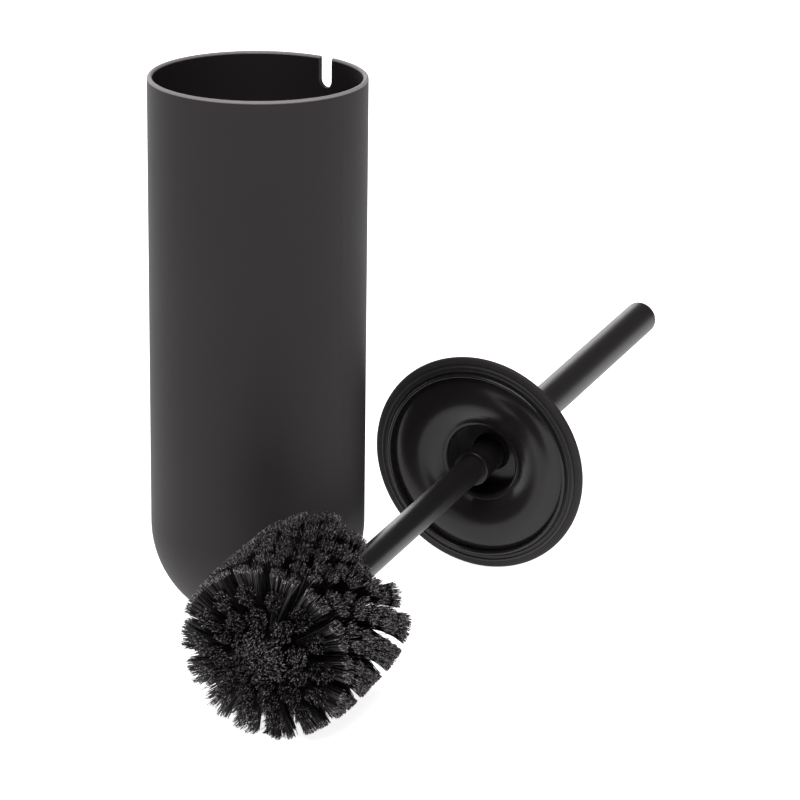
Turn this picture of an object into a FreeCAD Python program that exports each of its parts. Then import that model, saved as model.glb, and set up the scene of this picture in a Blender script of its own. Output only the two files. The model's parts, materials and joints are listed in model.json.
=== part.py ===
"""Toilet brush holder: a tall round canister and the lidded brush that lies on the floor beside it.

Millimetres, +Z up. The origin is the centre of the canister's foot, on the floor, and the notch in
the rim faces +Y. The brush is drawn upright in a frame of its own, with its axis on Z, the handle
up and the underside of the lid's flange at zero. It is then laid down on the floor, where it rests
on the edge of the lid and on its bristles, which it presses flat.
"""

import FreeCAD, Part
import os
from math import atan2, cos, degrees, radians, sin, sqrt

from FreeCAD import Placement, Rotation, Vector

# Canister
CANISTER_RADIUS = 50.0
CANISTER_HEIGHT = 255.0
CANISTER_WALL = 2.4
BOWL_BOTTOM = 1.0  # height of the moulding's lower edge above the floor
BOWL_FLAT_RADIUS = 28.0  # where the round bottom ends in a flat
INNER_FLOOR = 10.0
FLOOR_THICKNESS = 2.4
NOTCH_WIDTH = 7.6
NOTCH_DEPTH = 14.5

# Foot of the canister
CHAMBER_RADIUS = 25.0
PLATE_BOTTOM = 1.6
PLATE_TOP = 4.2
SCREW_CIRCLE = 16.0
SCREW_COUNT = 3
SCREW_RADIUS = 1.25
SCREW_HEAD_RADIUS = 2.6
SCREW_HEAD_HEIGHT = 1.15
BOSS_RADIUS = 3.4

# Lid
LID_RADIUS = 54.2
FLANGE_THICKNESS = 3.0
DOME_HEIGHT = 20.0
DOME_WALL = 1.8
SKIRT_RADIUS = 46.6
SKIRT_DEPTH = 3.0
LINER_WALL = 1.6
SWELL_RADIUS = 34.9  # ring where the underside of the lid swells out most
SWELL_DEPTH = 2.2
RIM_RISE = 3.5  # from the flange to the rim of the well round the shaft
WELL_RADIUS = 17.6
WELL_RIM = 2.4  # size of the rounded edge between swelling and well
SEAL_OUTER_RADIUS = 50.6
SEAL_THICKNESS = 0.5
SEAL_RIDGES = (47.8, 49.8)
RIDGE_RADIUS = 0.6

# Handle and shaft
HANDLE_RADIUS = 8.7
HANDLE_WALL = 1.5
HANDLE_END = 212.0
END_CAP_HEIGHT = 3.0
SHAFT_RADIUS = 6.6
SHAFT_WALL = 1.5
SHAFT_BOTTOM = -153.0
HUB_RADIUS = 8.0
TIE_ROD_RADIUS = 2.5

# Head: the core screws onto the stud at the bottom of the shaft
CORE_TOP = -154.4
CORE_RADIUS = 10.0
CORE_BOTTOM = -223.0
STUD_RADIUS = 4.0
STUD_LENGTH = 12.0
THREAD_CLEARANCE = 0.05
ROW_RADII = (39.5, 41.0, 41.5, 41.5, 41.5, 41.5, 41.0, 39.5)
ROW_PITCH = 8.6
ROW_GAP = 0.4
FIRST_ROW_TOP = -156.5
END_TUFT_RADIUS = 36.0
END_TUFT_BOTTOM = -231.0

# Where the brush lies
LID_CENTRE_X = 52.0
LID_CENTRE_Y = 101.0
HANDLE_HEADING = 103.2  # degrees from +X, seen from above
HANDLE_RISE = 4.2374  # degrees above level; it presses the lowest bristles flat on the floor

UP = Vector(0, 0, 1)


def cylinder(radius, bottom, top, x=0.0, y=0.0):
    return Part.makeCylinder(radius, top - bottom, Vector(x, y, bottom), UP)


def tube(outer, inner, bottom, top):
    return cylinder(outer, bottom, top).cut(cylinder(inner, bottom - 1, top + 1))


def turned(edges):
    """The solid that a closed outline in the XZ half plane sweeps round the Z axis."""
    face = Part.Face(Part.Wire(edges))
    return face.revolve(Vector(0, 0, 0), UP, 360)


def point(radius, height):
    return Vector(radius, 0, height)


def straight(*corners):
    return [Part.LineSegment(a, b).toShape() for a, b in zip(corners, corners[1:])]


def arc(start, middle, end):
    return Part.Arc(start, middle, end).toShape()


def bowl_point(radius, centre_z, angle):
    """A point of the round bottom, at an angle in degrees below the horizontal."""
    return point(radius * cos(radians(angle)), centre_z - radius * sin(radians(angle)))


def screw_places():
    for k in range(SCREW_COUNT):
        angle = radians(90 + k * 360 / SCREW_COUNT)
        yield SCREW_CIRCLE * cos(angle), SCREW_CIRCLE * sin(angle)


def canister_shell():
    inner_radius = CANISTER_RADIUS - CANISTER_WALL
    centre_z = BOWL_BOTTOM + sqrt(CANISTER_RADIUS**2 - BOWL_FLAT_RADIUS**2)
    outer_angle = degrees(atan2(centre_z - BOWL_BOTTOM, BOWL_FLAT_RADIUS))
    floor_radius = sqrt(inner_radius**2 - (centre_z - INNER_FLOOR) ** 2)
    inner_angle = degrees(atan2(centre_z - INNER_FLOOR, floor_radius))
    lip = CANISTER_WALL / 2
    lip_z = CANISTER_HEIGHT - lip
    under_floor = INNER_FLOOR - FLOOR_THICKNESS

    outline = straight(
        point(0, INNER_FLOOR),
        point(0, under_floor),
        point(CHAMBER_RADIUS, under_floor),
        point(CHAMBER_RADIUS, BOWL_BOTTOM),
        point(BOWL_FLAT_RADIUS, BOWL_BOTTOM),
    )
    outline.append(
        arc(
            point(BOWL_FLAT_RADIUS, BOWL_BOTTOM),
            bowl_point(CANISTER_RADIUS, centre_z, outer_angle / 2),
            point(CANISTER_RADIUS, centre_z),
        )
    )
    outline += straight(point(CANISTER_RADIUS, centre_z), point(CANISTER_RADIUS, lip_z))
    outline.append(
        arc(
            point(CANISTER_RADIUS, lip_z),
            point(CANISTER_RADIUS - lip, CANISTER_HEIGHT),
            point(inner_radius, lip_z),
        )
    )
    outline += straight(point(inner_radius, lip_z), point(inner_radius, centre_z))
    outline.append(
        arc(
            point(inner_radius, centre_z),
            bowl_point(inner_radius, centre_z, inner_angle / 2),
            point(floor_radius, INNER_FLOOR),
        )
    )
    outline += straight(point(floor_radius, INNER_FLOOR), point(0, INNER_FLOOR))
    shell = turned(outline)

    for x, y in screw_places():
        boss = cylinder(BOSS_RADIUS, PLATE_TOP, under_floor + 0.5, x, y)
        shell = shell.fuse(boss)
    for x, y in screw_places():
        shell = shell.cut(cylinder(SCREW_RADIUS, PLATE_TOP - 1, INNER_FLOOR - 1, x, y))
    return shell.cut(rim_notch()).removeSplitter()


def rim_notch():
    """The cutter for the U-shaped notch through the wall at +Y."""
    radius = NOTCH_WIDTH / 2
    bottom_z = CANISTER_HEIGHT - NOTCH_DEPTH + radius
    reach = CANISTER_RADIUS + 5
    cheeks = Part.makeBox(NOTCH_WIDTH, reach, NOTCH_DEPTH, Vector(-radius, 0, bottom_z))
    root = Part.makeCylinder(radius, reach, Vector(0, 0, bottom_z), Vector(0, 1, 0))
    return cheeks.fuse(root)


def base_weight():
    gap = 0.2
    weight = cylinder(CHAMBER_RADIUS - gap, PLATE_TOP + gap, INNER_FLOOR - FLOOR_THICKNESS)
    for x, y in screw_places():
        weight = weight.cut(cylinder(BOSS_RADIUS + gap, PLATE_TOP, INNER_FLOOR, x, y))
    return weight


def base_plate():
    plate = cylinder(CHAMBER_RADIUS - 0.1, PLATE_BOTTOM, PLATE_TOP)
    sink_top = PLATE_BOTTOM + SCREW_HEAD_HEIGHT
    for x, y in screw_places():
        plate = plate.cut(cylinder(SCREW_RADIUS + 0.25, PLATE_BOTTOM, PLATE_TOP, x, y))
        plate = plate.cut(cylinder(SCREW_HEAD_RADIUS + 0.2, PLATE_BOTTOM, sink_top, x, y))
    return plate


def base_screws():
    screws = []
    head_top = PLATE_BOTTOM + SCREW_HEAD_HEIGHT
    for x, y in screw_places():
        head = cylinder(SCREW_HEAD_RADIUS, PLATE_BOTTOM + 0.05, head_top, x, y)
        shank = cylinder(SCREW_RADIUS, head_top - 0.1, INNER_FLOOR - 1.2, x, y)
        screws.append(head.fuse(shank).removeSplitter())
    return Part.makeCompound(screws)


def foot_pad():
    pad = cylinder(CHAMBER_RADIUS - 0.4, 0.0, PLATE_BOTTOM)
    return pad.makeFillet(0.4, [pad.Edges[2]])


def lid_cover():
    """The matte top: a flange with a rolled edge, rising to the handle in a shallow dome."""
    half = FLANGE_THICKNESS / 2
    edge = LID_RADIUS - half
    shoulder = SKIRT_RADIUS - 1.0
    mid_radius = shoulder * 0.62
    under = DOME_HEIGHT - DOME_WALL
    well_outside = WELL_RADIUS + LINER_WALL + 0.2
    outline = [
        arc(point(edge, 0), point(LID_RADIUS, half), point(edge, FLANGE_THICKNESS)),
        *straight(point(edge, FLANGE_THICKNESS), point(shoulder, FLANGE_THICKNESS)),
        arc(
            point(shoulder, FLANGE_THICKNESS),
            point(mid_radius, DOME_HEIGHT * 0.78),
            point(HANDLE_RADIUS + 2, DOME_HEIGHT),
        ),
        *straight(
            point(HANDLE_RADIUS + 2, DOME_HEIGHT),
            point(SHAFT_RADIUS, DOME_HEIGHT),
            point(SHAFT_RADIUS, under),
            point(well_outside, under),
        ),
        arc(point(well_outside, under), point(mid_radius, under * 0.74), point(SKIRT_RADIUS, 0)),
        *straight(point(SKIRT_RADIUS, 0), point(edge, 0)),
    ]
    return turned(outline)


def lid_liner():
    """The glossy underside: a short skirt, a soft swelling, and a well with the shaft's hub in it."""
    inner = SKIRT_RADIUS - LINER_WALL
    bead = LINER_WALL / 2
    top = DOME_HEIGHT - DOME_WALL
    well_floor = top - LINER_WALL
    well_outside = WELL_RADIUS + LINER_WALL
    rim_radius = WELL_RADIUS + WELL_RIM
    back_corner = point(inner - 0.6, 1.3)
    outline = [
        *straight(point(SKIRT_RADIUS, 0), point(SKIRT_RADIUS, bead - SKIRT_DEPTH)),
        arc(
            point(SKIRT_RADIUS, bead - SKIRT_DEPTH),
            point(SKIRT_RADIUS - bead, -SKIRT_DEPTH),
            point(inner, bead - SKIRT_DEPTH),
        ),
        *straight(point(inner, bead - SKIRT_DEPTH), point(inner, 0.2)),
        arc(
            point(inner, 0.2),
            point(SWELL_RADIUS, -SWELL_DEPTH),
            point(rim_radius, RIM_RISE),
        ),
        arc(
            point(rim_radius, RIM_RISE),
            point(WELL_RADIUS + 0.3 * WELL_RIM, RIM_RISE + 0.3 * WELL_RIM),
            point(WELL_RADIUS, RIM_RISE + WELL_RIM),
        ),
        *straight(
            point(WELL_RADIUS, RIM_RISE + WELL_RIM),
            point(WELL_RADIUS, well_floor),
            point(HUB_RADIUS + 1.6, well_floor),
            point(HUB_RADIUS, well_floor - 1.6),
            point(HUB_RADIUS, -1.0),
            point(SHAFT_RADIUS, -1.0),
            point(SHAFT_RADIUS, top),
            point(well_outside, top),
            point(well_outside, RIM_RISE + WELL_RIM),
        ),
        arc(
            point(well_outside, RIM_RISE + WELL_RIM),
            point(SWELL_RADIUS, LINER_WALL - SWELL_DEPTH),
            back_corner,
        ),
        *straight(back_corner, point(SKIRT_RADIUS, 0)),
    ]
    return turned(outline)


def lid_seal():
    """A soft ring under the flange, with two round ridges that bear on the canister's lip."""
    level = -SEAL_THICKNESS
    corners = [point(SKIRT_RADIUS, 0), point(SKIRT_RADIUS, level)]
    outline = []
    for ridge in SEAL_RIDGES:
        near = point(ridge - RIDGE_RADIUS, level)
        far = point(ridge + RIDGE_RADIUS, level)
        outline += straight(*corners, near)
        outline.append(arc(near, point(ridge, level - RIDGE_RADIUS), far))
        corners = [far]
    outline += straight(
        *corners, point(SEAL_OUTER_RADIUS, level), point(SEAL_OUTER_RADIUS, 0), point(SKIRT_RADIUS, 0)
    )
    return turned(outline)


def hub_collar():
    """The ringed collar that locks the shaft to the lid's hub."""
    collar = tube(HUB_RADIUS + 0.5, SHAFT_RADIUS, -7.0, -1.0)
    for height in (-5.4, -3.6):
        collar = collar.cut(tube(HUB_RADIUS + 2, HUB_RADIUS, height, height + 0.5))
    lower_edges = [e for e in collar.Edges if abs(e.BoundBox.ZMax + 7.0) < 0.01]
    outer = max(lower_edges, key=lambda e: e.BoundBox.XLength)
    return collar.makeFillet(0.4, [outer])


def handle_tube():
    return tube(HANDLE_RADIUS, HANDLE_RADIUS - HANDLE_WALL, DOME_HEIGHT, HANDLE_END - END_CAP_HEIGHT)


def handle_end_cap():
    disc = cylinder(HANDLE_RADIUS, HANDLE_END - END_CAP_HEIGHT, HANDLE_END)
    upper = [e for e in disc.Edges if e.BoundBox.ZMin > HANDLE_END - 0.01]
    disc = disc.makeFillet(1.8, upper)
    plug = cylinder(HANDLE_RADIUS - HANDLE_WALL, HANDLE_END - 14, HANDLE_END - END_CAP_HEIGHT)
    return disc.fuse(plug).removeSplitter()


def handle_socket():
    """The threaded insert in the bottom of the handle that the tie rod pulls on."""
    insert = cylinder(HANDLE_RADIUS - HANDLE_WALL, DOME_HEIGHT, DOME_HEIGHT + 32)
    return insert.cut(cylinder(TIE_ROD_RADIUS, DOME_HEIGHT, DOME_HEIGHT + 26))


def shaft_tube():
    return tube(SHAFT_RADIUS, SHAFT_RADIUS - SHAFT_WALL, SHAFT_BOTTOM, DOME_HEIGHT)


def tie_rod():
    return cylinder(TIE_ROD_RADIUS, SHAFT_BOTTOM + 6, DOME_HEIGHT + 26)


def head_stud():
    """The plug that closes the shaft, with the threaded stud that carries the head."""
    plug = cylinder(SHAFT_RADIUS - SHAFT_WALL, SHAFT_BOTTOM, SHAFT_BOTTOM + 20)
    plug = plug.cut(cylinder(TIE_ROD_RADIUS, SHAFT_BOTTOM + 6, SHAFT_BOTTOM + 21))
    stud = cylinder(STUD_RADIUS, CORE_TOP - STUD_LENGTH, SHAFT_BOTTOM + 0.5)
    return plug.fuse(stud).removeSplitter()


def head_seal():
    gap = 0.05
    return tube(SHAFT_RADIUS - 0.2, STUD_RADIUS + gap, CORE_TOP + gap, SHAFT_BOTTOM - gap)


def head_core():
    core = cylinder(CORE_RADIUS, CORE_BOTTOM, CORE_TOP)
    top_edge = [e for e in core.Edges if e.BoundBox.ZMin > CORE_TOP - 0.01]
    core = core.makeFillet(2.0, top_edge)
    bore_bottom = CORE_TOP - STUD_LENGTH - 1.0
    return core.cut(cylinder(STUD_RADIUS + THREAD_CLEARANCE, bore_bottom, CORE_TOP + 1))


def bristle_row(index):
    top = FIRST_ROW_TOP - index * ROW_PITCH
    return tube(ROW_RADII[index], CORE_RADIUS, top - ROW_PITCH + ROW_GAP, top)


def bristle_end():
    """The tufts that stand on the end of the core."""
    radius = END_TUFT_RADIUS
    body = cylinder(radius, END_TUFT_BOTTOM, FIRST_ROW_TOP - len(ROW_RADII) * ROW_PITCH)
    return body.cut(cylinder(CORE_RADIUS, CORE_BOTTOM, 0))


def lying_placement():
    """Carries the upright brush to the floor, where it rests on the lid's edge and its bristles."""
    rise = radians(HANDLE_RISE)
    edge_z = FLANGE_THICKNESS / 2
    axis_height = LID_RADIUS * cos(rise) - edge_z * sin(rise)
    heading = Rotation(UP, HANDLE_HEADING)
    tip_over = Rotation(Vector(0, 1, 0), 90 - HANDLE_RISE)
    return Placement(Vector(LID_CENTRE_X, LID_CENTRE_Y, axis_height), heading * tip_over)


def pressed_flat(bristles):
    """Bristles that lie on the floor bend aside, so their solid ends in a flat there."""
    reach = 500.0
    below = Part.makeBox(2 * reach, 2 * reach, 100, Vector(-reach, -reach, -100))
    return bristles.cut(below)


CANISTER_PARTS = {
    "canister_shell": canister_shell,
    "base_weight": base_weight,
    "base_plate": base_plate,
    "base_screws": base_screws,
    "foot_pad": foot_pad,
}

BRUSH_PARTS = {
    "lid_cover": lid_cover,
    "lid_liner": lid_liner,
    "lid_seal": lid_seal,
    "hub_collar": hub_collar,
    "handle_tube": handle_tube,
    "handle_end_cap": handle_end_cap,
    "handle_socket": handle_socket,
    "shaft_tube": shaft_tube,
    "tie_rod": tie_rod,
    "head_stud": head_stud,
    "head_seal": head_seal,
    "head_core": head_core,
    "bristle_end": bristle_end,
}


def main():
    os.makedirs("parts", exist_ok=True)
    lying = lying_placement()
    brush = {name: make() for name, make in BRUSH_PARTS.items()}
    for k in range(len(ROW_RADII)):
        brush[f"bristle_row_{k + 1}"] = bristle_row(k)
    for shape in brush.values():
        shape.Placement = lying.multiply(shape.Placement)
    for name in brush:
        if name.startswith("bristle"):
            brush[name] = pressed_flat(brush[name])
    parts = {name: make() for name, make in CANISTER_PARTS.items()}
    parts.update(brush)
    for name, shape in parts.items():
        shape.exportStep(f"parts/{name}.step")
        print(name, round(shape.Volume), shape.isValid(), len(shape.Solids))
    print("lying placement", lying)


main()
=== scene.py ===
"""Looks of the toilet brush holder: a matte canister, and the lidded brush that lies beside it."""

import json
import math
import random

import bmesh
import bpy
from mathutils import Matrix, Quaternion, Vector


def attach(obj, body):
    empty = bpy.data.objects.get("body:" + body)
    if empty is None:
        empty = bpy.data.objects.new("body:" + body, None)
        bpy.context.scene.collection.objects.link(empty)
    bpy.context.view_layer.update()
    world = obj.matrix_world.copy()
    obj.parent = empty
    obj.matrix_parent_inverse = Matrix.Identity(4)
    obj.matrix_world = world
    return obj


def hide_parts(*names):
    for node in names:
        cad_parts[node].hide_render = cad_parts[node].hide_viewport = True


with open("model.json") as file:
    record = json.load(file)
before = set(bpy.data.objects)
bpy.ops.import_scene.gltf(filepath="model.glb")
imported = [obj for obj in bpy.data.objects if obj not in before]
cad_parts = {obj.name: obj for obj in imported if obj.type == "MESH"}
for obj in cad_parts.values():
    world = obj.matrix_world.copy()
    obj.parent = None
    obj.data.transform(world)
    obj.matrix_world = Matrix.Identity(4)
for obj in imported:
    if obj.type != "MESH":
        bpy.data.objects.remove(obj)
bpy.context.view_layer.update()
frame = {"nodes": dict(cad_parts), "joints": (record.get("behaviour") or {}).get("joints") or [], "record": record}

MM = 0.001
nodes = frame["nodes"]
joints = {joint["name"]: joint for joint in frame["joints"]}

# Camera: in front of the object and to its right, looking a little down
CAMERA_HEADING = 38.3  # degrees to the left of +Y
CAMERA_PITCH = 18.6
CAMERA_ROLL = 0.75
CAMERA_DISTANCE = 1.567
CAMERA_SIDESTEP = 0.0659
CAMERA_HEIGHT = 0.629
CAMERA_LENS = 160.4
CAMERA_REACH = 50  # metres

# Light and floor, in metres
LIGHT_TARGET = Vector((0.03, 0.05, 0.12))  # the middle of the object
WORLD_COLOUR = "#f4f4f4"
WORLD_STRENGTH = 0.14
FLOOR_HALF_SIZE = 20.0
FLOOR_GLOW = 0.86

# Skins
HANDLING_SIZE = 60  # millimetres, between smoother and duller places
HANDLING_SPREAD = 0.06  # of roughness, either way
RELIEF_STRENGTH = 0.6
# Painted highlight along the canister's lip: a pale colour stands in for the glint on its rounded edge
LIP_HIGHLIGHT_COLOUR = "#8b8586"
LIP_HIGHLIGHT_FADE = (0.3, 0.2)  # millimetres below and above the lip's height

# Tufts of the head, in millimetres
ROW_COUNT = 8
TUFTS_IN_ROW = 14
ROW_STAGGER = -0.345  # of the space between tufts, from one row to the next
SLANT = 0.746  # on the side that was wiped, each tuft leans along the same helix as the rows
WIPED_SIDE = -43.5  # degrees from the brush's underside
WORN_SIDE = -128.5  # where the rows next to the shaft are worn short
WORN_WIDTH = 24.0
WORN_ROWS = 3
WORN_LENGTH = 0.42  # of the radius, in the row nearest to the shaft
TURN_JITTER = 0.008  # radians, how unevenly the holes of a row are drilled
HOLE_RADIUS = 1.7
ROOT_DEPTH = 1.0  # how deep a row's bristles stand in the core
TUFT_DEPTH = 4.3  # half the tuft's thickness at its tip, along the brush
TUFT_REACH = 1.0  # how far the longest bristles stand out of the even head
REACH_DRAWN = (0.2, 1)  # share of that reach, from tuft to tuft
FAN_FILL = (0.73, 0.85)  # share of the space between tufts that a fan fills, from tuft to tuft
FAN_CROWDING = 0.7  # under 1, the bristles crowd at the sides of the fan
FAN_LEAN = 0.35
FAN_LEAVING = Vector((0.4, 0, 0))  # how a fan's bristles leave their hole

# Bristles, in millimetres
FILAMENTS_IN_TUFT = 150
FILAMENT_RADIUS = 0.21
FILAMENT_SIDES = 3
FILAMENT_TAPER = 0.85
FILAMENT_BENDS = (0.35, 0.65)  # where along its length a bristle can bend
CUT_END = 0.95  # where along its length the pale cut end starts; its paleness is partly a painted glint
FILAMENT_BOW = 0.35
FILAMENT_SPIN = 2  # radians
TIP_SCATTER = 0.3
SIDE_SCATTER = 0.2
STRAY_SHARE = 0.03  # bristles that stand out of the side of their fan
STRAY_WIDTH = (1.1, 1.35)
STRAY_SHORTER = 3

# Bristles pressed on the floor, in millimetres
PRESSED_DEPTH = 4.0  # bristles nearer to the floor than this bend aside
PRESSED_SIDEWAYS = 0.4  # share of the depth that they move aside
PRESSED_FORWARD = 1.5  # share of the depth that they move ahead, at the end of the brush

# Tufts on the end of the core, ring by ring: how many there are, and the radius of the circle
# of their holes and of the circle of their tips, in millimetres
END_TUFTS = ((1, 0.0, 0.0), (7, 4.0, 9.5), (11, 6.8, 19.5), (TUFTS_IN_ROW, 8.8, 29.8))
END_TUFT_SPREAD = 5.3
END_SPREAD_DRAWN = (0.85, 1.1)  # share of that spread, from tuft to tuft
END_LEAN = 0.6
END_SCATTER = 0.5
END_ROOT_DEPTH = 3  # how deep the bristles stand in the end of the core
END_LEAVING_MIDDLE = Vector((0, 0, -0.4))
END_LEAVING = Vector((0.75, 0, 0))
END_RADIUS = 36.0
END_DOME = 5.5  # how much further the middle of the end stands out than its edge


# ---------------------------------------------------------------- camera, light and floor


def link(thing):
    bpy.context.scene.collection.objects.link(thing)
    return thing


def add_camera():
    camera = link(bpy.data.objects.new("camera", bpy.data.cameras.new("camera")))
    camera.data.lens = CAMERA_LENS
    camera.data.clip_end = CAMERA_REACH
    heading = Matrix.Rotation(math.radians(CAMERA_HEADING), 4, "Z")
    tilt = Matrix.Rotation(math.radians(90 - CAMERA_PITCH), 4, "X")
    roll = Matrix.Rotation(math.radians(CAMERA_ROLL), 4, "Z")
    place = heading @ Vector((CAMERA_SIDESTEP, -CAMERA_DISTANCE, CAMERA_HEIGHT))
    camera.matrix_world = Matrix.Translation(place) @ heading @ tilt @ roll
    bpy.context.scene.camera = camera


def add_softbox(name, heading, height, distance, size, power):
    """A rectangular area light, in metres and watts. Its heading counts from the camera's."""
    light = bpy.data.lights.new(name, "AREA")
    light.shape = "RECTANGLE"
    light.size, light.size_y = size
    light.energy = power
    turn = Matrix.Rotation(math.radians(CAMERA_HEADING + heading), 4, "Z")
    place = turn @ Vector((0, -distance, height))
    aim = (LIGHT_TARGET - place).to_track_quat("-Z", "Y").to_matrix().to_4x4()
    link(bpy.data.objects.new(name, light)).matrix_world = Matrix.Translation(place) @ aim


def add_lights():
    add_softbox("back_softbox", heading=-158, height=0.7, distance=2.0, size=(2.2, 1.0), power=27)
    add_softbox("top_softbox", heading=0, height=2.3, distance=0.8, size=(2.0, 2.0), power=56)
    world = bpy.data.worlds.new("studio")
    bpy.context.scene.world = world
    world.use_nodes = True
    background = world.node_tree.nodes["Background"]
    background.inputs["Color"].default_value = linear(WORLD_COLOUR)
    background.inputs["Strength"].default_value = WORLD_STRENGTH
    bpy.context.scene.view_settings.view_transform = "Standard"


def add_floor():
    bm = bmesh.new()
    bmesh.ops.create_grid(bm, x_segments=1, y_segments=1, size=FLOOR_HALF_SIZE)
    mesh = bpy.data.meshes.new("floor")
    bm.to_mesh(mesh)
    bm.free()
    mesh.materials.append(opal_table())
    link(bpy.data.objects.new("floor", mesh))


# ---------------------------------------------------------------- materials


def linear(hex_colour):
    """An sRGB hex colour as the linear values that Blender takes."""
    channels = [int(hex_colour[i : i + 2], 16) / 255 for i in (1, 3, 5)]
    curve = [c / 12.92 if c <= 0.04045 else ((c + 0.055) / 1.055) ** 2.4 for c in channels]
    return (*curve, 1.0)


def add(tree, kind, sockets=None, **settings):
    """Adds a shader node. A socket takes a value, or another node's output as a link."""
    node = tree.nodes.new(kind)
    for name, value in settings.items():
        setattr(node, name, value)
    for name, value in (sockets or {}).items():
        if isinstance(value, bpy.types.NodeSocket):
            tree.links.new(value, node.inputs[name])
        else:
            node.inputs[name].default_value = value
    return node


def empty_material(name):
    material = bpy.data.materials.new(name)
    material.use_nodes = True
    material.node_tree.nodes.clear()
    return material, material.node_tree


def grains(size_mm):
    """The scale of a Noise texture whose blobs are this large."""
    return 1 / (size_mm * MM)


def noise(tree, size_mm, detail=2.0, roughness=0.5):
    """A noise whose blobs are about this large, fixed to the piece."""
    place = add(tree, "ShaderNodeTexCoord").outputs["Object"]
    sockets = {
        "Vector": place,
        "Scale": grains(size_mm),
        "Detail": detail,
        "Roughness": roughness,
    }
    return add(tree, "ShaderNodeTexNoise", sockets).outputs["Fac"]


def mix(tree, factor, first, second):
    sockets = {"Factor": factor, "A": first, "B": second}
    return add(tree, "ShaderNodeMix", sockets, data_type="RGBA").outputs["Result"]


def remap(tree, value, **limits):
    """Limits are named as the node's sockets, with an underscore for each space."""
    sockets = {"Value": value}
    for name, limit in limits.items():
        sockets[name.replace("_", " ")] = limit
    return add(tree, "ShaderNodeMapRange", sockets).outputs["Result"]


def finish_material(tree, sockets):
    shader = add(tree, "ShaderNodeBsdfPrincipled", sockets)
    add(tree, "ShaderNodeOutputMaterial", {"Surface": shader.outputs["BSDF"]})


def painted_lip_highlight(tree, colour, lip):
    """Above this height, in millimetres, a painted highlight: the skin's colour turns pale along the lip."""
    place = add(tree, "ShaderNodeTexCoord").outputs["Object"]
    height = add(tree, "ShaderNodeSeparateXYZ", {"Vector": place}).outputs["Z"]
    below, above = LIP_HIGHLIGHT_FADE
    highlight_share = remap(tree, height, From_Min=(lip - below) * MM, From_Max=(lip + above) * MM)
    return mix(tree, highlight_share, colour, linear(LIP_HIGHLIGHT_COLOUR))


def textured_plastic(name, colours, roughness, grain_mm, relief_mm, gloss=0.5, lip=None):
    """Spark-textured ABS, or a coat like it: a fine grain softens every highlight.

    The real grain is about 0.1 mm. It is drawn coarser, so that it still shows. Handling has
    made the skin a little smoother in some places than in others.
    """
    material, tree = empty_material(name)
    grain = noise(tree, grain_mm, detail=3.0, roughness=0.6)
    handling = noise(tree, HANDLING_SIZE, detail=4.0)
    colour = mix(tree, grain, linear(colours[0]), linear(colours[1]))
    # The lip gets a painted highlight: its colour is painted pale, its roughness stays the same
    if lip:
        colour = painted_lip_highlight(tree, colour, lip)
    smoothest, dullest = roughness - HANDLING_SPREAD, roughness + HANDLING_SPREAD
    polish = remap(tree, handling, To_Min=smoothest, To_Max=dullest)
    bump = {"Height": grain, "Distance": relief_mm * MM, "Strength": RELIEF_STRENGTH}
    relief = add(tree, "ShaderNodeBump", bump).outputs["Normal"]
    finish_material(
        tree,
        {
            "Base Color": colour,
            "Roughness": polish,
            "Normal": relief,
            "Specular IOR Level": gloss,
            "IOR": 1.5,
        },
    )
    return material


def opal_table():
    """Opal acrylic, lit from below: an even white that leaves only a breath of shadow."""
    material, tree = empty_material("opal_acrylic")
    colour = mix(tree, noise(tree, 400), linear("#f6f6f6"), linear("#f8f8f8"))
    finish_material(
        tree,
        {
            "Base Color": colour,
            "Roughness": 0.9,
            "Specular IOR Level": 0.1,
            "Emission Color": linear("#ffffff"),
            "Emission Strength": FLOOR_GLOW,
        },
    )
    return material


def zinc_steel():
    """Zinc-plated steel: a bright grey metal with a fine cloudy bloom."""
    material, tree = empty_material("zinc_plated_steel")
    bloom = noise(tree, 3, detail=5.0)
    colour = mix(tree, bloom, linear("#a9acb0"), linear("#c9ccd0"))
    polish = remap(tree, bloom, To_Min=0.28, To_Max=0.46)
    finish_material(tree, {"Base Color": colour, "Roughness": polish, "Metallic": 1.0})
    return material


def monofilament(name, pale, least, most):
    """Black polypropylene strands: each glints on its own, some grey, some brownish.

    The strand's own noise turns it pale from least to most. On the cut ends that pale colour is partly the whitish
    rough cut and partly a painted glint.
    """
    material, tree = empty_material(name)
    strand = noise(tree, 0.9)
    clump = noise(tree, 11, detail=1.0)
    tone = mix(tree, clump, linear("#141414"), linear("#1f1a1b"))
    pale_and_glint_share = remap(tree, strand, From_Min=least, From_Max=most)
    polish = remap(tree, strand, To_Min=0.5, To_Max=0.25)
    finish_material(
        tree,
        {
            "Base Color": mix(tree, pale_and_glint_share, tone, linear(pale)),
            "Roughness": polish,
            "Specular IOR Level": 0.4,
            "IOR": 1.49,
        },
    )
    return material


# Slot: material, its two colours, roughness, grain and relief in millimetres, and gloss
PLASTICS_AND_COATS = {
    "base_plastic": ("moulded_polypropylene", ("#191818", "#1d1c1c"), 0.5, 1.2, 0.02, 0.5),
    "foot_rubber": ("foamed_rubber", ("#0f0f0f", "#171616"), 0.85, 0.8, 0.08, 0.5),
    "lid_matte": ("matte_lid_abs", ("#221e1f", "#282425"), 0.62, 0.7, 0.03, 0.25),
    "lid_gloss": ("polished_abs", ("#1b1819", "#1f1c1d"), 0.2, 9.0, 0.01, 0.3),
    "seal_rubber": ("sealing_rubber", ("#101010", "#161515"), 0.6, 1.0, 0.03, 0.5),
    "handle_coat": ("powder_coated_steel", ("#1c191a", "#231f20"), 0.42, 0.8, 0.03, 0.34),
    "handle_cap_plastic": ("matte_cap_abs", ("#1a1718", "#201d1e"), 0.46, 0.7, 0.03, 0.3),
    "shaft_coat": ("satin_coated_steel", ("#161415", "#1c1a1b"), 0.36, 1.0, 0.02, 0.36),
    "core_plastic": ("moulded_core_polypropylene", ("#0c0c0c", "#111010"), 0.42, 1.5, 0.03, 0.5),
}


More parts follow.
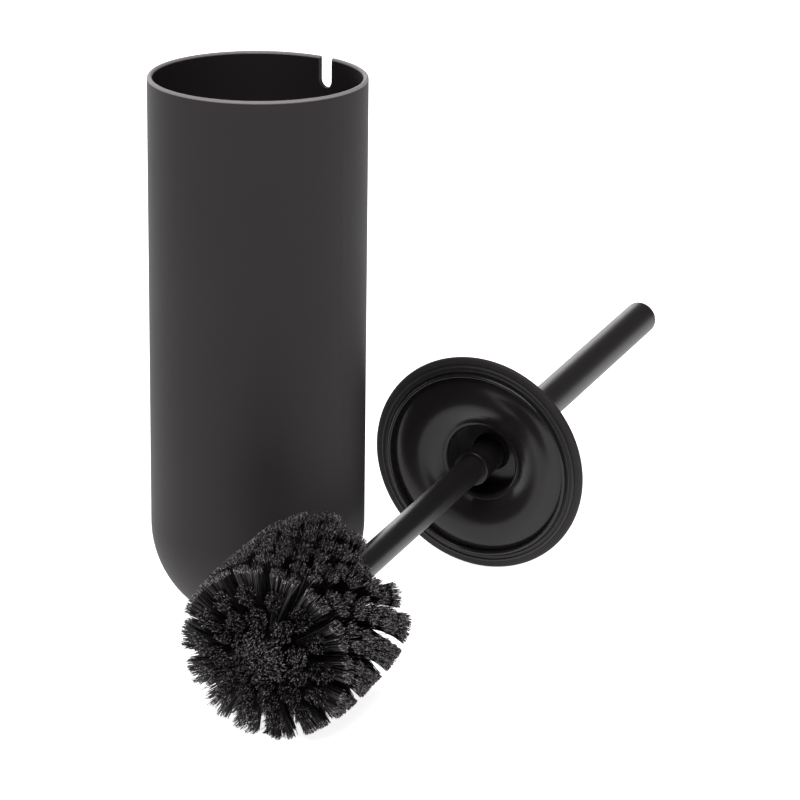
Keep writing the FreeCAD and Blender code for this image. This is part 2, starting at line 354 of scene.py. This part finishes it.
def make_materials():
    materials = {slot: textured_plastic(*look) for slot, look in PLASTICS_AND_COATS.items()}
    # The canister's lip, from 254 mm up, is painted pale as a highlight
    materials["canister_plastic"] = textured_plastic(
        "spark_textured_abs", ("#221e1f", "#282425"), 0.62, 0.7, 0.03, 0.25, lip=254.0
    )
    materials["weight_steel"] = materials["fastener_steel"] = zinc_steel()
    materials["bristle"] = monofilament("polypropylene_monofilament", "#211e1f", 0.5, 0.7)
    # The cut ends are painted pale: partly the whitish rough cut, partly a painted glint on the tips
    materials["cut_ends"] = monofilament("cut_polypropylene_painted_glint", "#b5adae", 0.49, 0.66)
    return materials


def dress_cad_nodes(materials):
    for part in frame["record"]["subparts"]:
        nodes[part["node"]].data.materials[0] = materials[part["material_slot"]]


# ---------------------------------------------------------------- brush


def brush_frame():
    """Carries the upright brush, with the head's seat at the origin, to where it lies."""
    turn = joints["head_turn"]
    axis = Vector(turn["axis"]).normalized()
    side = Vector((0, 0, 1)).cross(axis).normalized()
    under = side.cross(axis)
    stance = Matrix((under, side, axis)).transposed().to_4x4()
    return Matrix.Translation(turn["pos_m"]) @ stance @ Matrix.Scale(MM, 4)


BRUSH = brush_frame()


def extent(name):
    """A CAD piece's lowest and highest place along the brush, and its radius, in millimetres."""
    upright = BRUSH.inverted()
    points = [upright @ vertex.co for vertex in nodes[name].data.vertices]
    heights = [point.z for point in points]
    return min(heights), max(heights), max(point.xy.length for point in points)


def filament_template():
    """A straight strand of unit length along X. Its cut end takes the second material."""
    bm = bmesh.new()
    bmesh.ops.create_cone(
        bm,
        cap_ends=True,
        segments=FILAMENT_SIDES,
        radius1=FILAMENT_RADIUS,
        radius2=FILAMENT_RADIUS * FILAMENT_TAPER,
        depth=1.0,
        matrix=Matrix.Translation((0.5, 0, 0)) @ Matrix.Rotation(math.radians(90), 4, "Y"),
    )
    for cut in (*FILAMENT_BENDS, CUT_END):
        everything = bm.verts[:] + bm.edges[:] + bm.faces[:]
        bmesh.ops.bisect_plane(bm, geom=everything, plane_co=(cut, 0, 0), plane_no=(1, 0, 0))
    for face in bm.faces:
        face.material_index = int(face.calc_center_median().x > CUT_END)
    mesh = bpy.data.meshes.new("filament")
    bm.to_mesh(mesh)
    bm.free()
    return mesh


def bend_filament(points, root, leaving, tip, bow, spin):
    """Lays a straight strand from root to tip. It leaves its hole one way and bends to its tip."""
    turn = (tip - root).to_track_quat("X", "Z") @ Quaternion((1, 0, 0), spin)
    knee = root + leaving * (tip - root).length
    for point in points:
        t = point.co.x
        section = turn @ Vector((0, point.co.y, point.co.z))
        line = root * (1 - t) ** 2 + knee * 2 * t * (1 - t) + tip * t**2
        point.co = line + section + bow * math.sin(math.pi * t)


def tuft(template, leaving, aim, draw):
    """A bundle of filaments. aim gives the root and the tip of the one at a place in the hole."""
    bm = bmesh.new()
    for k in range(FILAMENTS_IN_TUFT):
        angle = draw.uniform(0, 2 * math.pi)
        away = math.sqrt(draw.random())
        root, tip = aim(away * math.cos(angle), away * math.sin(angle))
        bow = Vector(draw.gauss(0, FILAMENT_BOW) for axis in range(3))
        before = len(bm.verts)
        bm.from_mesh(template)
        bm.verts.ensure_lookup_table()
        spin = draw.uniform(0, FILAMENT_SPIN)
        bend_filament(bm.verts[before:], root, leaving, tip, bow, spin)
    return bm


def fan_aim(radius, core_radius, slant, draw):
    """Tips of a fan along X that is cut off bluntly at the head's radius."""
    half_width = radius * math.tan(math.pi / TUFTS_IN_ROW) * draw.uniform(*FAN_FILL)
    lean = draw.gauss(0, FAN_LEAN)
    length = radius + TUFT_REACH * draw.uniform(*REACH_DRAWN)

    def aim(across, along_brush):
        stray = draw.uniform(*STRAY_WIDTH) if draw.random() < STRAY_SHARE else 1.0
        root = Vector((core_radius - ROOT_DEPTH, HOLE_RADIUS * across, HOLE_RADIUS * along_brush))
        edge = math.copysign(abs(across) ** FAN_CROWDING, across)
        tip_z = TUFT_DEPTH * along_brush + draw.gauss(0, TIP_SCATTER)
        tip_y = half_width * edge * stray + lean + slant * tip_z + draw.gauss(0, SIDE_SCATTER)
        shorter = abs(draw.gauss(0, TIP_SCATTER))
        cut = length - shorter - STRAY_SHORTER * (stray - 1) * draw.random()
        return root, Vector((math.sqrt(cut**2 - tip_y**2), tip_y, tip_z))

    return aim


def end_aim(hole_circle, tip_circle, core_end, low, draw):
    """Tips of a round tuft on the end of the core."""
    spread = END_TUFT_SPREAD * draw.uniform(*END_SPREAD_DRAWN)
    lean = draw.gauss(0, END_LEAN)

    def aim(outward, around):
        root = Vector((hole_circle + HOLE_RADIUS * outward, HOLE_RADIUS * around, core_end))
        tip_x = tip_circle + spread * outward + draw.gauss(0, TIP_SCATTER)
        tip_y = lean + spread * around + draw.gauss(0, TIP_SCATTER)
        dome = END_DOME * (tip_x**2 + tip_y**2) / END_RADIUS**2
        return root, Vector((tip_x, tip_y, low + dome + abs(draw.gauss(0, END_SCATTER))))

    return aim


def press_on_floor(bm, forward):
    """Bristles that would go through the floor bend sideways and forward, and lie on it."""
    side = BRUSH.col[1].xyz.normalized()
    ahead = -BRUSH.col[2].xyz.normalized()
    middle = BRUSH.translation @ side
    depth_limit = PRESSED_DEPTH * MM
    for vertex in bm.verts:
        depth = depth_limit - vertex.co.z
        if depth > 0:
            height = depth_limit * math.exp(-depth / depth_limit)
            pushed = height - vertex.co.z
            vertex.co.z = height
            vertex.co += side * math.copysign(PRESSED_SIDEWAYS * pushed, vertex.co @ side - middle)
            vertex.co += ahead * forward * pushed


def add_tufts(name, bm, node, materials, forward):
    """Makes the finished piece from tufts drawn upright, in millimetres."""
    bm.transform(BRUSH)
    press_on_floor(bm, forward)
    mesh = bpy.data.meshes.new(name)
    bm.to_mesh(mesh)
    bm.free()
    mesh.materials.append(materials["bristle"])
    mesh.materials.append(materials["cut_ends"])
    piece = link(bpy.data.objects.new(name, mesh))
    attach(piece, "head")
    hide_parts(node)


def join(target, part):
    """Moves one bmesh into another."""
    step = bpy.data.meshes.new("step")
    part.to_mesh(step)
    part.free()
    target.from_mesh(step)
    bpy.data.meshes.remove(step)


def tuft_row(template, index, materials):
    node = f"bristle_row_{index + 1}"
    low, high, radius = extent(node)
    core_radius = extent("head_core")[2]
    draw = random.Random(node)
    row = bmesh.new()
    worn_row = max(0, 1 - index / WORN_ROWS)
    for k in range(TUFTS_IN_ROW):
        turn = (k + index * ROW_STAGGER) * 2 * math.pi / TUFTS_IN_ROW
        turn += draw.gauss(0, TURN_JITTER)
        slant = SLANT * max(0, math.cos(turn - math.radians(WIPED_SIDE)))
        from_worn = math.remainder(turn - math.radians(WORN_SIDE), 2 * math.pi)
        worn = worn_row * math.exp(-((from_worn / math.radians(WORN_WIDTH)) ** 2))
        aim = fan_aim(radius * (1 - WORN_LENGTH * worn), core_radius, slant, draw)
        fan = tuft(template, FAN_LEAVING, aim, draw)
        lift = Matrix.Translation((0, 0, (low + high) / 2))
        fan.transform(lift @ Matrix.Rotation(turn, 4, "Z"))
        join(row, fan)
    forward = PRESSED_FORWARD * (index / (ROW_COUNT - 1)) ** 3
    add_tufts(f"tufts_row_{index + 1}", row, node, materials, forward)


def end_tufts(template, materials):
    low = extent("bristle_end")[0]
    core_end = extent("head_core")[0] + END_ROOT_DEPTH
    draw = random.Random("end")
    end = bmesh.new()
    for count, hole_circle, tip_circle in END_TUFTS:
        leaving = END_LEAVING if hole_circle else END_LEAVING_MIDDLE
        for k in range(count):
            aim = end_aim(hole_circle, tip_circle, core_end, low, draw)
            clump = tuft(template, leaving, aim, draw)
            turn = (k + (ROW_COUNT - 1) * ROW_STAGGER) * 2 * math.pi / count
            clump.transform(Matrix.Rotation(turn, 4, "Z"))
            join(end, clump)
    add_tufts("tufts_end", end, "bristle_end", materials, PRESSED_FORWARD)


# ---------------------------------------------------------------- assembly


def main():
    materials = make_materials()
    add_camera()
    add_lights()
    add_floor()
    dress_cad_nodes(materials)
    template = filament_template()
    for index in range(ROW_COUNT):
        tuft_row(template, index, materials)
    end_tufts(template, materials)


main()
